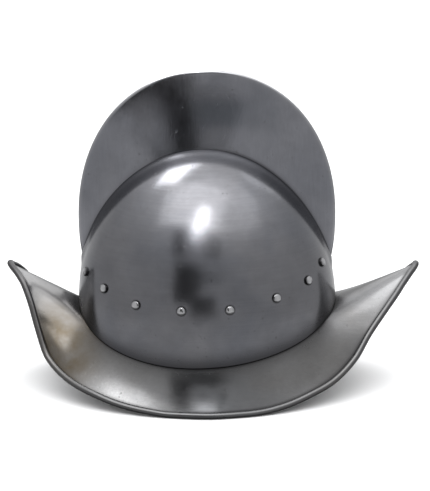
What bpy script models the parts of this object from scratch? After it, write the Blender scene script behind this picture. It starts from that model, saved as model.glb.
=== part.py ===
"""Comb morion: a steel helmet with a tall hollow comb and a boat-shaped brim with a rolled edge.

Metres, +Z up, +X towards the front. The helmet stands on the lowest stretches of its rolled edge,
which lie at Z = 0. Shapes are worked out in the skull's own frame, whose origin is the middle of
the skull at the level of the seam over the brow, and an empty carries them to their place.
"""
import math

import bmesh
import bpy
import numpy as np
from mathutils import Matrix, Vector
from mathutils.bvhtree import BVHTree

# Sheet and fits
SHEET = 0.0016
GAP = 0.0003

# Skull, measured on its outside
SKULL_HALF_LENGTH = 0.116
SKULL_HALF_WIDTH = 0.098
SKULL_RISE = 0.1402
PLAN_FULLNESS = 2.15
DOME_FULLNESS = 1.94
DOME_LEAN = 0.085

# Seam between the skull and the brim: it dips at the sides, and is lowest behind the middle
SEAM_DIP = 0.0381
SEAM_LOW_AT = -0.15
SEAM_FRONT_POWER = 1.33
SEAM_BACK_POWER = 0.97
SEAM_END_ROUND = 0.04

# Comb: its outline seen from the side, and its half thickness
COMB_HALF_LENGTH = 0.1157
COMB_WIDEST_AT = 0.075
COMB_RISE = 0.1349
COMB_FULLNESS = 2.15
COMB_HALF_WIDTH = 0.013
COMB_END_HALF_WIDTH = 0.0024
CREST_HALF_WIDTH = 0.0016
CREST_SOLID = 0.005
COMB_END_STAND = 0.0012
COMB_ROOT = 0.003
COMB_TAPER = 1.25
COMB_SWELL = 0.8

# Brim: reach of the rolled edge's middle line from the skull's middle, and its heights
FRONT_REACH = 0.1885
BACK_REACH = 0.1775
BRIM_HALF_WIDTH = 0.1125
EDGE_LOW = -0.0763
FRONT_TIP = 0.0306
BACK_TIP = 0.0314
ROLL_RADIUS = 0.003
BRIM_DISH = 0.0025
BRIM_FAN = 0.36
BRIM_COLLAR = 0.005

# Rivets
HEAD_RADIUS = 0.0040
HEAD_HEIGHT = 0.0026
SHANK_RADIUS = 0.0020
TAIL_RADIUS = 0.0029
TAIL_HEIGHT = 0.0011
TAIL_GAP = 0.0004

# Facets
STATIONS = 64
STATION_CROWD = 0.15
COMB_STATIONS = 32
RIVET_SIDES = 10

# Rows of the skull from the seam to the top, as degrees of a quarter turn
SKULL_ROWS = (0, 3, 9, 16, 24, 32, 41, 50, 59, 68, 77, 85, 90)

# The brim's edge from its tip to the level stretch at the side. Columns: degrees round from the
# tip, fullness of the plan against an ellipse, share of the climb from the low stretch to the tip
FRONT_EDGE = (
    (0.0, 0.20, 1.000),
    (12.0, 0.25, 0.951),
    (20.0, 0.315, 0.868),
    (26.0, 0.38, 0.772),
    (32.0, 0.455, 0.665),
    (39.5, 0.56, 0.500),
    (45.5, 0.66, 0.315),
    (54.0, 0.78, 0.162),
    (60.5, 0.845, 0.098),
    (68.5, 0.905, 0.033),
    (75.0, 0.945, 0.005),
    (79.0, 0.965, 0.000),
    (90.0, 1.00, 0.000),
)
BACK_EDGE = (
    (0.0, 0.20, 1.000),
    (12.0, 0.28, 0.964),
    (20.5, 0.385, 0.887),
    (26.5, 0.49, 0.735),
    (30.5, 0.575, 0.556),
    (36.5, 0.69, 0.308),
    (47.0, 0.835, 0.163),
    (54.5, 0.905, 0.110),
    (65.0, 0.955, 0.045),
    (73.0, 0.975, 0.015),
    (79.0, 0.985, 0.000),
    (90.0, 1.00, 0.000),
)

# Rivets on one side. Columns: degrees forward from the side, height as a share of the skull's rise
RIVET_ROW = (
    (-72.5, 0.231),
    (-51.8, 0.184),
    (-31.2, 0.123),
    (-10.0, 0.108),
    (8.8, 0.116),
    (30.8, 0.167),
    (52.0, 0.233),
    (69.0, 0.301),
)

# Shares along a comb section, from the crease to the crest
COMB_ROWS = (0.0, 0.10, 0.25, 0.45, 0.65, 0.82, 0.93)


def clear_scene():
    for item in list(bpy.data.objects):
        bpy.data.objects.remove(item, do_unlink=True)


def smooth_through(rows, at, column):
    """Value at a place on the smooth curve through one column of a table."""
    places = [row[0] for row in rows]
    values = [row[column] for row in rows]
    last = len(rows) - 1
    index = min(max(int(np.searchsorted(places, at)) - 1, 0), last - 1)

    def slope(k):
        if k in (0, last):
            return 0.0
        before = (values[k] - values[k - 1]) / (places[k] - places[k - 1])
        after = (values[k + 1] - values[k]) / (places[k + 1] - places[k])
        if before * after <= 0:
            return 0.0
        return 2 * before * after / (before + after)

    width = places[index + 1] - places[index]
    share = (at - places[index]) / width
    low = values[index] * (1 + 2 * share) * (1 - share) ** 2
    high = values[index + 1] * share ** 2 * (3 - 2 * share)
    rise = slope(index) * width * share * (1 - share) ** 2
    fall = slope(index + 1) * width * share ** 2 * (share - 1)
    return low + high + rise + fall


def solve(function, low, high):
    """Place between low and high where a rising function crosses zero."""
    for _ in range(50):
        middle = (low + high) / 2
        if function(middle) > 0:
            high = middle
        else:
            low = middle
    return (low + high) / 2


def signed_power(value, power):
    return math.copysign(abs(value) ** power, value)


def plan_direction(turn):
    """Point of the unit plan curve at an angle from the front."""
    x = signed_power(math.cos(turn), 2 / PLAN_FULLNESS)
    y = signed_power(math.sin(turn), 2 / PLAN_FULLNESS)
    return x, y


def seam_height(turn):
    along = plan_direction(turn)[0]
    room = 1 - SEAM_LOW_AT if along >= SEAM_LOW_AT else 1 + SEAM_LOW_AT
    power = SEAM_FRONT_POWER if along >= SEAM_LOW_AT else SEAM_BACK_POWER
    across = 1 - ((along - SEAM_LOW_AT) / room) ** 2
    rounded = math.sqrt(max(across, 0.0) + SEAM_END_ROUND ** 2) - SEAM_END_ROUND
    return -SEAM_DIP * (rounded / (math.sqrt(1 + SEAM_END_ROUND ** 2) - SEAM_END_ROUND)) ** power


def dome_power(turn):
    return DOME_FULLNESS - DOME_LEAN * math.cos(turn)


def skull_point(turn, height):
    """Point of the skull's outer face at a plan angle and a height above the seam level."""
    power = dome_power(turn)
    up = min(max(height, 0.0) / SKULL_RISE, 1.0)
    spread = (1 - up ** power) ** (1 / power)
    x, y = plan_direction(turn)
    return Vector((SKULL_HALF_LENGTH * x * spread, SKULL_HALF_WIDTH * y * spread, height))


def skull_normal(turn, height):
    step = 0.0005
    around = skull_point(turn + step, height) - skull_point(turn - step, height)
    upward = skull_point(turn, height + step) - skull_point(turn, height - step)
    return around.cross(upward).normalized()


def skull_reach(angle, half_width):
    """Distance from the skull's middle to its outer face, in a lengthwise upright plane."""
    def outside(reach):
        x = reach * math.cos(angle)
        z = reach * math.sin(angle)
        turn = 0.0 if x > 0 else math.pi
        across = (abs(x) / SKULL_HALF_LENGTH) ** PLAN_FULLNESS
        across += (half_width / SKULL_HALF_WIDTH) ** PLAN_FULLNESS
        power = DOME_FULLNESS - DOME_LEAN * math.cos(turn) * abs(x) / SKULL_HALF_LENGTH
        return across ** (power / PLAN_FULLNESS) + (z / SKULL_RISE) ** power - 1
    return solve(outside, 0.0, SKULL_HALF_LENGTH + SKULL_RISE)


def comb_reach(angle):
    """Distance from the skull's middle to the comb's outline."""
    def outside(reach):
        x = abs(reach * math.cos(angle)) / COMB_HALF_LENGTH
        z = abs(reach * math.sin(angle) - COMB_WIDEST_AT) / COMB_RISE
        return x ** COMB_FULLNESS + z ** COMB_FULLNESS - 1
    return solve(outside, COMB_WIDEST_AT * math.sin(angle), COMB_HALF_LENGTH + COMB_WIDEST_AT + COMB_RISE)


def comb_end(stand, half_width, toward_back):
    """Angle above the seam level where the comb stands this far off the skull."""
    def stands(angle):
        real = math.pi - angle if toward_back else angle
        return comb_reach(real) - skull_reach(real, half_width) - stand
    return solve(stands, math.radians(5), math.radians(60))


def comb_half_width(share):
    """Half the comb's thickness at its root, from 0 at the front end to 1 at the back end."""
    swell = max(math.sin(math.pi * share), 0.0) ** COMB_SWELL
    return COMB_END_HALF_WIDTH + (COMB_HALF_WIDTH - COMB_END_HALF_WIDTH) * swell


def loft_half(name, rings):
    """Half of a closed body: rings of points from the middle plane out and back to it."""
    mesh = bpy.data.meshes.new(name)
    shape = bmesh.new()
    made = [[shape.verts.new(point) for point in ring] for ring in rings]
    for ring, following in zip(made, made[1:]):
        for k in range(len(ring) - 1):
            shape.faces.new((ring[k], ring[k + 1], following[k + 1], following[k]))
    shape.faces.new(made[0][::-1])
    shape.faces.new(made[-1])
    bmesh.ops.recalc_face_normals(shape, faces=shape.faces)
    shape.to_mesh(mesh)
    shape.free()
    item = bpy.data.objects.new(name, mesh)
    mirror = item.modifiers.new("both_sides", "MIRROR")
    mirror.use_axis = (False, True, False)
    mirror.merge_threshold = 0.00005
    return item


def comb_angles(start, finish, count):
    return [start + (finish - start) * k / count for k in range(count + 1)]


def comb_span():
    """Angles of the comb's front and back ends."""
    front = comb_end(COMB_END_STAND, COMB_END_HALF_WIDTH, False)
    back = math.pi - comb_end(COMB_END_STAND, COMB_END_HALF_WIDTH, True)
    return front, back


def comb_ring(angle, share, wall):
    """Half section of the comb, or of its hollow where a wall is given."""
    half_width = comb_half_width(share)
    crease = skull_reach(angle, half_width)
    crest = comb_reach(angle)
    root = crease - SHEET - COMB_ROOT - 3 * wall
    places = [(root, 0.0), (root, half_width - wall)]
    for along in COMB_ROWS:
        taper = max(1 - along, 0.0) ** COMB_TAPER
        thick = CREST_HALF_WIDTH + (half_width - CREST_HALF_WIDTH) * taper
        if wall and thick - wall < GAP:
            break
        places.append((crease + (crest - crease) * along, thick - wall))
    top = crest
    if wall:
        last = places[-1][0]
        top = last + (crest - last) * 0.3
    places.append((top, 0.0))
    return [Vector((reach * math.cos(angle), width, reach * math.sin(angle))) for reach, width in places]


def make_comb_hollow():
    front, back = comb_span()
    depth = CREST_SOLID + SHEET
    start = comb_end(depth, COMB_END_HALF_WIDTH, False)
    finish = math.pi - comb_end(depth, COMB_END_HALF_WIDTH, True)
    rings = []
    for angle in comb_angles(start, finish, COMB_STATIONS - 4):
        share = (angle - front) / (back - front)
        rings.append(comb_ring(angle, share, SHEET))
    rows = min(len(ring) for ring in rings)
    rings = [ring[:rows - 1] + [ring[-1]] for ring in rings]
    return loft_half("comb_hollow", rings)


def make_comb(material, hollow):
    front, back = comb_span()
    rings = []
    for angle in comb_angles(front, back, COMB_STATIONS):
        share = (angle - front) / (back - front)
        rings.append(comb_ring(angle, share, 0.0))
    comb = loft_half("comb", rings)
    cut = comb.modifiers.new("hollow", "BOOLEAN")
    cut.operation = "DIFFERENCE"
    cut.solver = "EXACT"
    cut.object = hollow
    finish(comb, material)
    return comb


def make_comb_slot():
    """The slot that the comb's root passes through, a gap wider than the root all round."""
    front, back = comb_span()
    slack = GAP / skull_reach(front, COMB_END_HALF_WIDTH)
    rings = []
    for k, angle in enumerate(comb_angles(front, back, COMB_STATIONS)):
        half_width = comb_half_width(k / COMB_STATIONS)
        crease = skull_reach(angle, half_width)
        if k == 0:
            angle -= slack
        if k == COMB_STATIONS:
            angle += slack
        low = crease - SHEET - 2 * COMB_ROOT
        high = crease + COMB_ROOT
        width = half_width + GAP
        places = ((low, 0.0), (low, width), (high, width), (high, 0.0))
        rings.append([Vector((r * math.cos(angle), w, r * math.sin(angle))) for r, w in places])
    return loft_half("comb_slot", rings)


def turns():
    """Plan angles of the stations, closer together towards the brim's points."""
    even = [2 * math.pi * k / STATIONS for k in range(STATIONS)]
    return [turn - STATION_CROWD * math.sin(2 * turn) for turn in even]


def skull_surface():
    """The skull's outer face, open along the seam."""
    shape = bmesh.new()
    rows = []
    for degrees in SKULL_ROWS[:-1]:
        row = []
        for turn in turns():
            seam = seam_height(turn)
            height = seam + (SKULL_RISE - seam) * math.sin(math.radians(degrees))
            row.append(shape.verts.new(skull_point(turn, height)))
        rows.append(row)
    for row, upper in zip(rows, rows[1:]):
        for k in range(STATIONS):
            after = (k + 1) % STATIONS
            shape.faces.new((row[k], row[after], upper[after], upper[k]))
    top = shape.verts.new((0.0, 0.0, SKULL_RISE))
    for k in range(STATIONS):
        shape.faces.new((rows[-1][k], rows[-1][(k + 1) % STATIONS], top))
    return shape


def make_skull(material, cutters):
    shape = skull_surface()
    mesh = bpy.data.meshes.new("skull")
    shape.to_mesh(mesh)
    shape.free()
    skull = bpy.data.objects.new("skull", mesh)
    shell = skull.modifiers.new("sheet", "SOLIDIFY")
    shell.thickness = SHEET
    shell.offset = -1.0
    shell.use_even_offset = True
    cut = skull.modifiers.new("slot_and_holes", "BOOLEAN")
    cut.operation = "DIFFERENCE"
    cut.solver = "EXACT"
    cut.operand_type = "COLLECTION"
    cut.collection = cutters
    finish(skull, material)
    return skull


def edge_point(turn):
    """Middle line of the rolled edge."""
    forward = math.cos(turn) >= 0
    reach = FRONT_REACH if forward else BACK_REACH
    tip = FRONT_TIP if forward else BACK_TIP
    table = FRONT_EDGE if forward else BACK_EDGE
    from_tip = math.degrees(math.acos(min(abs(math.cos(turn)), 1.0)))
    fullness = smooth_through(table, from_tip, 1)
    climb = smooth_through(table, from_tip, 2)
    return Vector((
        reach * math.cos(turn),
        BRIM_HALF_WIDTH * fullness * math.sin(turn),
        EDGE_LOW + (tip - EDGE_LOW) * climb,
    ))


def edge_turn(turn):
    """Place on the edge that faces a place on the seam: the brim fans out from the skull."""
    return turn + BRIM_FAN * math.sin(2 * turn)


def roll_frame(turn):
    """Level outward direction and upward direction across the rolled edge."""
    step = math.pi / STATIONS
    along = (edge_point(turn + step) - edge_point(turn - step)).normalized()
    outward = along.cross(Vector((0, 0, 1))).normalized()
    return outward, outward.cross(along)


def brim_ring(turn):
    """Closed section of the brim: collar, upper face, roll and under face."""
    seam = seam_height(turn)
    foot = skull_point(turn, seam)
    level = skull_normal(turn, min(seam, -0.001))
    level.z = 0.0
    level.normalize()
    lip = skull_point(turn, seam + BRIM_COLLAR)
    down = Vector((0, 0, -1))
    ring = [
        lip - level * (2 * SHEET + GAP),
        lip - level * (SHEET + GAP),
        foot - level * (SHEET + GAP) + down * GAP,
        foot + down * GAP,
    ]
    edge = edge_point(edge_turn(turn))
    outward, upward = roll_frame(edge_turn(turn))
    inner = foot + down * GAP - edge
    meet = math.atan2(inner.dot(upward), inner.dot(outward)) % (2 * math.pi)
    under = meet - 2 * math.pi + math.asin(SHEET / ROLL_RADIUS)

    def roll(angle):
        return edge + ROLL_RADIUS * (math.cos(angle) * outward + math.sin(angle) * upward)

    near = ring[-1]
    far = roll(meet)
    across = far - near
    flat = Vector((across.x, across.y, 0.0)).normalized()
    rise = Vector((-flat.x * across.z, -flat.y * across.z, flat.dot(across))).normalized()
    depth = BRIM_DISH * math.sin(turn) ** 2
    shares = (0.2, 0.4, 0.6, 0.8)
    upper = [near + across * s - rise * depth * 4 * s * (1 - s) for s in shares]
    ring += upper
    foot_angle = math.radians(-75)
    heel_angle = math.radians(-105)
    ring += [roll(meet + (foot_angle - meet) * k / 7) for k in range(8)]
    ring += [roll(heel_angle + (under - heel_angle) * k / 2) for k in range(3)]
    ring += [point - rise * SHEET for point in reversed(upper)]
    ring.append(foot - level * (2 * SHEET + GAP) + down * (GAP + SHEET * 0.7))
    return ring


def make_brim(material):
    shape = bmesh.new()
    rings = [[shape.verts.new(point) for point in brim_ring(turn)] for turn in turns()]
    for ring, following in zip(rings, rings[1:] + rings[:1]):
        for k in range(len(ring)):
            after = (k + 1) % len(ring)
            shape.faces.new((ring[k], ring[after], following[after], following[k]))
    bmesh.ops.recalc_face_normals(shape, faces=shape.faces)
    mesh = bpy.data.meshes.new("brim")
    shape.to_mesh(mesh)
    shape.free()
    brim = bpy.data.objects.new("brim", mesh)
    finish(brim, material)
    return brim


def rivet_profile():
    """Profile of a rivet from the top of its head down to the bottom of its tail."""
    profile = []
    for degrees in (90, 62, 38, 16):
        angle = math.radians(degrees)
        profile.append((HEAD_RADIUS * math.cos(angle), GAP + HEAD_HEIGHT * math.sin(angle)))
    profile[0] = (0.0, GAP + HEAD_HEIGHT)
    tail_top = -SHEET - TAIL_GAP
    profile += [
        (HEAD_RADIUS, GAP),
        (SHANK_RADIUS, GAP),
        (SHANK_RADIUS, tail_top),
        (TAIL_RADIUS, tail_top),
        (TAIL_RADIUS * 0.6, tail_top - TAIL_HEIGHT),
        (0.0, tail_top - TAIL_HEIGHT),
    ]
    return profile


def turned(name, profile):
    mesh = bpy.data.meshes.new(name)
    points = [(radius, 0.0, height) for radius, height in profile]
    mesh.from_pydata(points, [(k, k + 1) for k in range(len(points) - 1)], [])
    item = bpy.data.objects.new(name, mesh)
    screw = item.modifiers.new("turn", "SCREW")
    screw.steps = RIVET_SIDES
    screw.render_steps = RIVET_SIDES
    screw.use_merge_vertices = True
    screw.merge_threshold = 0.00005
    screw.use_smooth_shade = True
    return item


def rivet_places():
    """Where each rivet crosses the skull's outer face, and which way it points."""
    shape = skull_surface()
    tree = BVHTree.FromBMesh(shape)
    shape.free()
    places = []
    for side in (-1, 1):
        for forward, share in RIVET_ROW:
            turn = math.radians(90 - forward) * side
            height = share * SKULL_RISE
            point = skull_point(turn, height)
            axis = Vector((0, 0, height))
            hit = tree.ray_cast(axis, (point - axis).normalized())[0]
            normal = skull_normal(turn, height)
            places.append(Matrix.Translation(hit) @ normal.to_track_quat("Z", "X").to_matrix().to_4x4())
    return places


def make_rivets(material):
    rivets = []
    for number, place in enumerate(rivet_places(), start=1):
        rivet = turned(f"rivet_{number:02d}", rivet_profile())
        rivet.matrix_world = place
        finish(rivet, material)
        rivets.append(rivet)
    return rivets


def make_rivet_holes():
    reach = HEAD_RADIUS
    radius = SHANK_RADIUS + GAP
    profile = [(0.0, reach), (radius, reach), (radius, -reach), (0.0, -reach)]
    holes = []
    for number, place in enumerate(rivet_places(), start=1):
        hole = turned(f"rivet_hole_{number:02d}", profile)
        hole.matrix_world = place
        holes.append(hole)
    return holes


def steel(name, colour, roughness):
    material = bpy.data.materials.new(name)
    material.use_nodes = True
    shader = material.node_tree.nodes["Principled BSDF"]
    shader.inputs["Base Color"].default_value = (*colour, 1.0)
    shader.inputs["Metallic"].default_value = 1.0
    shader.inputs["Roughness"].default_value = roughness
    return material


def finish(item, material):
    item.data.materials.append(material)
    item.data.shade_smooth()
    if item.data.polygons:
        item.data.set_sharp_from_angle(angle=math.radians(35))


def collection(name):
    made = bpy.data.collections.new(name)
    bpy.context.scene.collection.children.link(made)
    return made


def main():
    clear_scene()
    parts = collection("morion_helmet")
    cutters = collection("cutters")
    skull_cutters = collection("skull_cutters")

    place = bpy.data.objects.new("helmet_place", None)
    lowest = EDGE_LOW - ROLL_RADIUS * math.cos(math.radians(15))
    place.location = ((BACK_REACH - FRONT_REACH) / 2, 0.0, -lowest)
    parts.objects.link(place)

    hollow = make_comb_hollow()
    cutters.objects.link(hollow)
    for cutter in [make_comb_slot()] + make_rivet_holes():
        skull_cutters.objects.link(cutter)

    items = [
        make_skull(steel("skull_steel", (0.36, 0.36, 0.38), 0.28), skull_cutters),
        make_comb(steel("comb_steel", (0.38, 0.38, 0.40), 0.28), hollow),
        make_brim(steel("brim_steel", (0.34, 0.34, 0.34), 0.30)),
    ]
    items += make_rivets(steel("rivet_steel", (0.45, 0.45, 0.46), 0.25))
    for item in items:
        parts.objects.link(item)
        item.parent = place

    for cutter in list(cutters.objects) + list(skull_cutters.objects):
        cutter.parent = place
        cutter.display_type = "WIRE"
        cutter.hide_render = True


main()
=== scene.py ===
"""Looks of the comb morion: worn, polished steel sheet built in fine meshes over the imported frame.

Metres, +Z up, +X towards the helmet's front. The shapes follow the same formulas as the solids, in
the skull's own frame, whose origin is the middle of the skull at the level of the seam over the brow.
"""
import math

import bmesh
import bpy
import numpy as np
from mathutils import Matrix, Quaternion, Vector, noise


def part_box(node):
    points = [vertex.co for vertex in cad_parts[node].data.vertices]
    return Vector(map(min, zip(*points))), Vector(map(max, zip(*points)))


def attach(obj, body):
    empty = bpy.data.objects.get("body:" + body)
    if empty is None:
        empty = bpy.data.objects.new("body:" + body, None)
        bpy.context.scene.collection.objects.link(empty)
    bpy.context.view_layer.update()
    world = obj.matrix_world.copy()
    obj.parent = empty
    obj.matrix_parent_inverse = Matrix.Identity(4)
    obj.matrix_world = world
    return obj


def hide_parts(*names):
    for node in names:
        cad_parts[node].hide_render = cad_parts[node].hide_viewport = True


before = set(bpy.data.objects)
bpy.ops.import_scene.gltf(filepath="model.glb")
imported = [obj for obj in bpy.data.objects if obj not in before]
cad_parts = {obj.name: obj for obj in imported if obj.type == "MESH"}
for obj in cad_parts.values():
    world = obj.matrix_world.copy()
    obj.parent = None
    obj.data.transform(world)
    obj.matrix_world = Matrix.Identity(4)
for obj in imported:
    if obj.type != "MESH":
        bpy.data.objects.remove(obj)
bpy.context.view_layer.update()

# Places and sizes read from the frame
skull_low, skull_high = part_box("skull")
SKULL_HALF_LENGTH = (skull_high.x - skull_low.x) / 2
SKULL_HALF_WIDTH = (skull_high.y - skull_low.y) / 2
MIDDLE_X = (skull_high.x + skull_low.x) / 2
RIVETS = sorted(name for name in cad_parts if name.startswith("rivet_"))

# Sheet and fits, as in the solids
SHEET = 0.0016
GAP = 0.0003

# Skull. The tuck is the share by which it narrows down to the lowest rim, and the crease lift is how
# far its sheet is drawn up beside the comb
SKULL_RISE = 0.1402
PLAN_FULLNESS = 2.15
DOME_FULLNESS = 1.94
DOME_LEAN = 0.085
SKULL_TUCK = 0.0133
RIM_ROUND = 0.0006
CREASE_LIFT = 0.0018
CREASE_SPREAD = 0.0062

# Seam between the skull and the brim
SEAM_DIP = 0.0381
SEAM_LOW_AT = -0.15
SEAM_FRONT_POWER = 1.33
SEAM_BACK_POWER = 0.97
SEAM_END_ROUND = 0.04

# Comb
COMB_HALF_LENGTH = 0.1157
COMB_WIDEST_AT = 0.075
COMB_RISE = 0.1349
COMB_FULLNESS = 2.15
COMB_HALF_WIDTH = 0.013
COMB_END_HALF_WIDTH = 0.0024
CREST_HALF_WIDTH = 0.0016
CREST_ROUND = 1.2 * CREST_HALF_WIDTH
CREST_SOLID = 0.005
COMB_END_STAND = 0.0012
COMB_ROOT = 0.003
COMB_TAPER = 1.25
COMB_SWELL = 0.8

# Top of the comb's hollow: the share of the way up where its sides stop, and how far on it closes
HOLLOW_TOP = 0.9
HOLLOW_CLOSE = 0.3

# Brim
FRONT_REACH = 0.1885
BACK_REACH = 0.1775
BRIM_HALF_WIDTH = 0.1125
EDGE_LOW = -0.0763
FRONT_TIP = 0.0306
BACK_TIP = 0.0314
ROLL_RADIUS = 0.003
BRIM_DISH = 0.0025
BRIM_FAN = 0.36
BRIM_COLLAR = 0.005
COLLAR_FOOT = 0.7 * SHEET
ROLL_NOTCH = 0.0006
ROLL_CORNER = math.radians(4)

# Where the wings are eased like a skin, by the cosine and the sine of the station's angle
EASED_FROM = 0.62
EASED_OVER = 0.25
EASED_OFF_AXIS = 0.10

# The brim's edge from its tip to the level stretch at the side. Columns: degrees round from the
# tip, fullness of the plan against an ellipse, share of the climb from the low stretch to the tip
FRONT_EDGE = (
    (0.0, 0.20, 1.000),
    (12.0, 0.25, 0.951),
    (20.0, 0.315, 0.868),
    (26.0, 0.38, 0.772),
    (32.0, 0.455, 0.665),
    (39.5, 0.56, 0.500),
    (45.5, 0.66, 0.315),
    (54.0, 0.78, 0.162),
    (60.5, 0.845, 0.098),
    (68.5, 0.905, 0.033),
    (75.0, 0.945, 0.005),
    (79.0, 0.965, 0.000),
    (90.0, 1.00, 0.000),
)
BACK_EDGE = (
    (0.0, 0.20, 1.000),
    (12.0, 0.28, 0.964),
    (20.5, 0.385, 0.887),
    (26.5, 0.49, 0.735),
    (30.5, 0.575, 0.556),
    (36.5, 0.69, 0.308),
    (47.0, 0.835, 0.163),
    (54.5, 0.905, 0.110),
    (65.0, 0.955, 0.045),
    (73.0, 0.975, 0.015),
    (79.0, 0.985, 0.000),
    (90.0, 1.00, 0.000),
)

# Rivet
HEAD_RADIUS = 0.0040
HEAD_HEIGHT = 0.0026
HEAD_FLAT = 0.0006
HEAD_STEPS = (8, 18, 28, 38, 48, 57, 66, 74, 81, 87)
TAIL_RADIUS = 0.0029
TAIL_HEIGHT = 0.0011
SHANK_RADIUS = TAIL_RADIUS - 0.0006

# How far hammering leaves a rivet off round
HEAD_SQUASH = 0.05
HEAD_WOBBLE = 0.03
HEAD_WOBBLE_SPAN = 0.0022

# Rivet below the rim of its head. Columns: radius, height over the skull's outer face
RIVET_FOOT = (
    (HEAD_RADIUS, GAP * 0.4),
    (HEAD_RADIUS - 0.0003, 0.0),
    (HEAD_RADIUS - 0.0010, -0.0002),
    (SHANK_RADIUS, -SHEET / 2),
    (SHANK_RADIUS, -SHEET - 0.0001),
    (TAIL_RADIUS, -SHEET - 0.0003),
    (TAIL_RADIUS, -SHEET - TAIL_HEIGHT * 0.6),
    (TAIL_RADIUS * 0.7, -SHEET - TAIL_HEIGHT),
)

# Grime and painted shade on the skull and the comb: how far they reach from the seam and the creases, with a
# wider band of painted shade over the seam; and how far wear reaches from the crest
SEAM_GRIME_AND_SHADE = 0.0022
SEAM_SHADE = 0.0105
SEAM_SHADE_STRENGTH = 0.75
CREASE_GRIME_AND_SHADE = 0.0014
COMB_GRIME_AND_SHADE = 0.0016
CREST_WEAR = 0.0012

# Painted shade round the rim and a painted highlight on the crown of a rivet's head, as shares of its radius
HEAD_UNSHADED = 0.72
HEAD_HIGHLIGHT = 0.6

# Grime and painted shade on the brim by the seam, and painted shade in the corner of the roll, on the under
# face and round the roll
BRIM_GRIME_AND_SHADE = 0.0035
BRIM_SHADE = 0.010
BRIM_SHADE_STRENGTH = 0.45
ROLL_GROOVE_SHADE = 0.0011
ROLL_GROOVE_SHADE_STRENGTH = 0.75
UNDER_SHADE = 0.35
ROLL_SHADE = 0.45
ROLL_SHADE_GROWTH = 0.3

# Wear and painted light on the brim: a painted highlight along the top of the roll, and wear with painted
# sheen towards the two points
ROLL_WEAR_AND_HIGHLIGHT = 0.2
ROLL_TOP = 0.22
ROLL_TOP_SPREAD = 0.10
POINT_WEAR_AND_SHEEN_FROM = 0.128
POINT_WEAR_AND_SHEEN_OVER = 0.055
FRONT_POINT_WEAR_AND_SHEEN = 0.25
BACK_POINT_WEAR_AND_SHEEN = 0.40
BROWN_ON_ROLL = 0.25

# Brown stains on the brim. Columns: place in the skull's frame, how far it spreads, how strong
BROWN_STAINS = (
    ((-0.135, -0.042, -0.018), 0.026, 0.85),
    ((-0.122, -0.060, -0.042), 0.026, 0.85),
    ((0.120, 0.070, -0.040), 0.024, 0.6),
    ((0.030, 0.108, -0.055), 0.020, 0.5),
)

# Brighter places on the brim, rubbed and with painted sheen. Columns: as above
WORN_AND_SHEEN_PATCHES = (
    ((-0.085, -0.088, -0.060), 0.026, 0.35),
    ((-0.045, -0.103, -0.066), 0.022, 0.22),
    ((-0.110, -0.075, -0.055), 0.016, 0.25),
    ((0.075, -0.092, -0.052), 0.024, 0.12),
    ((0.095, 0.085, -0.050), 0.026, 0.25),
)

# Painted darker reflections on the brim. Columns: as above
PAINTED_BRIM_REFLECTIONS = (
    ((0.005, -0.100, -0.055), 0.034, 0.30),
    ((-0.020, 0.104, -0.055), 0.030, 0.30),
)

# Painted dark bluish reflections on the comb's sides. Columns: middle along and up, half length, half
# height, how strong
PAINTED_COMB_REFLECTIONS = (
    (0.012, 0.172, 0.026, 0.013, 0.50),
    (0.051, 0.176, 0.014, 0.022, 0.22),
    (-0.030, 0.158, 0.018, 0.030, 0.25),
)

# Small pits in the skull. Columns: place, radius
PITS = (
    ((-0.0145, -0.0835, -0.0133), 0.0009),
)

# Patterns in the steel. Columns: scale, detail, roughness, distortion
PATTERNS = {
    "clouds": (14.0, 5.0, 0.55, 0.6),
    "blotches": (42.0, 6.0, 0.62, 0.3),
    "specks": (420.0, 4.0, 0.7, 0.0),
    "pits": (260.0, 2.0, 0.5, 0.0),
    "lines": (1.0, 4.0, 0.65, 0.0),
    "cross": (1.0, 3.0, 0.6, 0.0),
}

# What the patterns do. Columns: the pattern's value and the level that it gives, at two ends
LEVELS = {
    "tarnish": ((0.42, 0.0), (0.66, 1.0)),
    "dull": ((0.35, 1.0), (0.70, 0.86)),
    "fine": ((0.25, 0.93), (0.75, 1.05)),
    "pits": ((0.24, 1.0), (0.30, 0.0)),
    "grime_and_shade": ((0.2, 1.0), (0.8, 0.8)),
    "wear_and_sheen": ((0.3, 0.65), (0.7, 1.0)),
    "brown": ((0.3, 0.45), (0.6, 1.0)),
}
CROSS_TURN = (0.3, 0.5, 0.2)

# Colours of the marks, among them painted shade, painted reflections and painted highlights, and how strong
# they grow
PIT_COLOUR = (0.05, 0.045, 0.04)
DARK_REFLECTION_COLOUR = (0.055, 0.066, 0.080)
GRIME_AND_SHADE_COLOUR = (0.018, 0.017, 0.018)
WEAR_AND_SHEEN_COLOUR = (0.60, 0.60, 0.60)
BROWN_COLOUR = (0.092, 0.075, 0.052)
TARNISH_SHARE = 0.35
PIT_SHARE = 0.35
WEAR_AND_SHEEN_SHARE = 0.6

# What the patterns add to the roughness
BLOTCH_ROUGHNESS = 0.16
LINE_ROUGHNESS = 0.05
GRIME_AND_SHADE_ROUGHNESS = 0.15

# Heights of the polishing lines, the stray scratches and the specks, and the depth of the pits
LINE_HEIGHT = 0.00002
CROSS_HEIGHT = 0.00001
SPECK_HEIGHT = 0.000012
PIT_DEPTH = 0.00006

# Shadow line round a rivet and darkness of a pit
RIVET_LINE = 0.0013
RIVET_LINE_STRENGTH = 0.75
PIT_STRENGTH = 0.9

# Fineness of the meshes. The skull's rows start with a few by the rim, at these heights over it
STATIONS = 320
BRIM_FOOT = 4
BRIM_ROWS = 22
ROLL_ROWS = 26
STATION_CROWD = 0.15
SKIN_STEPS = 50
SKULL_ROWS = 84
RIM_ROWS = (0.0, 0.00012, 0.0003, 0.0006, 0.0012)
FIRST_ROW = 0.0025
LAST_ROW_ANGLE = 89.4
COMB_STATIONS = 220
COMB_ROWS = 30
RIVET_SIDES = 28

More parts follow.
